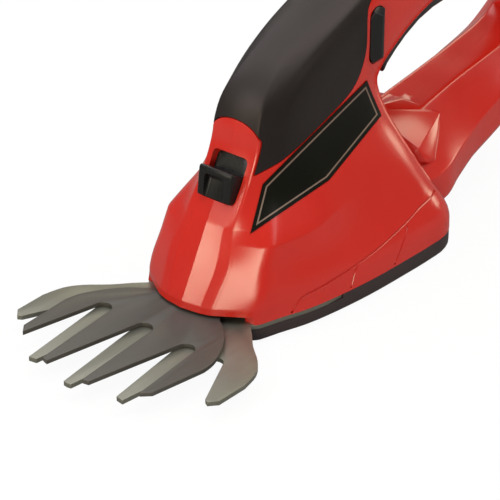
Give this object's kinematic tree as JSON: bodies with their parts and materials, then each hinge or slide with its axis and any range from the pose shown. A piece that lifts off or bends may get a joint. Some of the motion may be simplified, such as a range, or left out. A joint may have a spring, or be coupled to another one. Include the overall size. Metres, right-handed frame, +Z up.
{
  "type": "cordless grass shears",
  "caption": "Hand-held battery shears: toothed blade pack under a flared nose, looped handle with soft grip, trigger bar, lock button, release slide and charging socket.",
  "frame": {"origin": "middle of the bounding box on the ground, under the body", "axes": "+Y runs to the rear along the tool, +X is the user's left side, +Z is up"},
  "size_m": [0.1078, 0.328, 0.137],
  "materials": {
    "red_shell": "satin moulded plastic",
    "soft_black": "soft moulded grip",
    "black_plastic": "fine grain",
    "gloss_black": "smooth",
    "sole_plastic": "fine grain",
    "blade_steel": "ground steel",
    "blade_black": "dark non-stick coat",
    "bright_steel": "turned steel",
    "bronze": "sintered bronze",
    "gear_plastic": "moulded",
    "light_alloy": "die cast",
    "motor_metal": "plated can",
    "cell_wrap": "wrapped cells",
    "tray_plastic": "moulded",
    "board_green": "lacquered",
    "lamp_lens": "clear moulded",
    "lead_red": "cable cover"
  },
  "bodies": {
    "body": {"housing_left": "red_shell", "housing_right": "red_shell", "soft_grip": "soft_black", "badge_left": "gloss_black", "badge_right": "gloss_black", "sole_plate": "sole_plastic", "fixed_blade": "blade_steel", "blade_pivot": "bright_steel", "pivot_washer": "bright_steel", "shaft_bush": "bronze", "gear_plate": "light_alloy", "plate_screws": "bright_steel", "motor_can": "motor_metal", "motor_end_cap": "black_plastic", "motor_screws": "bright_steel", "motor_leads": "lead_red", "slide_spring": "bright_steel", "trigger_pin": "bright_steel", "trigger_spring": "bright_steel", "micro_switch": "black_plastic", "battery_cells": "cell_wrap", "cell_tray": "tray_plastic", "cell_strips": "bright_steel", "circuit_board": "board_green", "charge_socket": "black_plastic", "charge_lamp": "lamp_lens", "housing_screws": "bright_steel", "sole_screws": "bright_steel"},
    "gear_unit": {"drive_gear": "gear_plastic", "gear_shaft": "bright_steel", "shaft_circlip": "bright_steel", "eccentric_pin": "bright_steel", "eccentric_roller": "bronze"},
    "rotor": {"motor_shaft": "bright_steel", "pinion": "bronze"},
    "blade": {"moving_blade": "blade_black"},
    "slide": {"release_slide": "gloss_black"},
    "button": {"lock_button": "gloss_black", "lock_spring": "bright_steel"},
    "switch_bar": {"trigger": "black_plastic"}
  },
  "joints": [
    {"name": "crank_turn", "type": "hinge", "parent": "body", "child": "gear_unit", "pos_m": [0, -0.052, 0.016], "axis": [0, 0, 1], "range_deg": [-45, 135]},
    {"name": "blade_swing", "type": "hinge", "parent": "body", "child": "blade", "pos_m": [0, -0.076, 0.009], "axis": [0, 0, 1], "range_deg": [-3.5, 10.5]},
    {"name": "rotor_turn", "type": "hinge", "parent": "body", "child": "rotor", "pos_m": [0, -0.0289, 0.016], "axis": [0, 0, 1], "range_deg": [-607.5, 202.5]},
    {"name": "slide_lift", "type": "slide", "parent": "body", "child": "slide", "axis": [0, 0.4844, 0.8749], "range_m": [0, 0.007], "stiffness_N_per_m": 400, "springref_m": -0.003, "deforming": ["slide_spring"]},
    {"name": "lock_press", "type": "slide", "parent": "body", "child": "button", "axis": [-1, 0, 0], "range_m": [0, 0.0025], "stiffness_N_per_m": 600, "springref_m": -0.003},
    {"name": "trigger_press", "type": "hinge", "parent": "body", "child": "switch_bar", "pos_m": [0, 0.035, 0.096], "axis": [1, 0, 0], "range_deg": [0, 5.5], "stiffness_Nm_per_rad": 0.8, "springref_deg": -5.73, "deforming": ["trigger_spring"]}
  ],
  "couplings": [
    {"joint": "blade_swing", "follows": "crank_turn", "ratio": 0.077777},
    {"joint": "rotor_turn", "follows": "crank_turn", "ratio": -4.5}
  ]
}
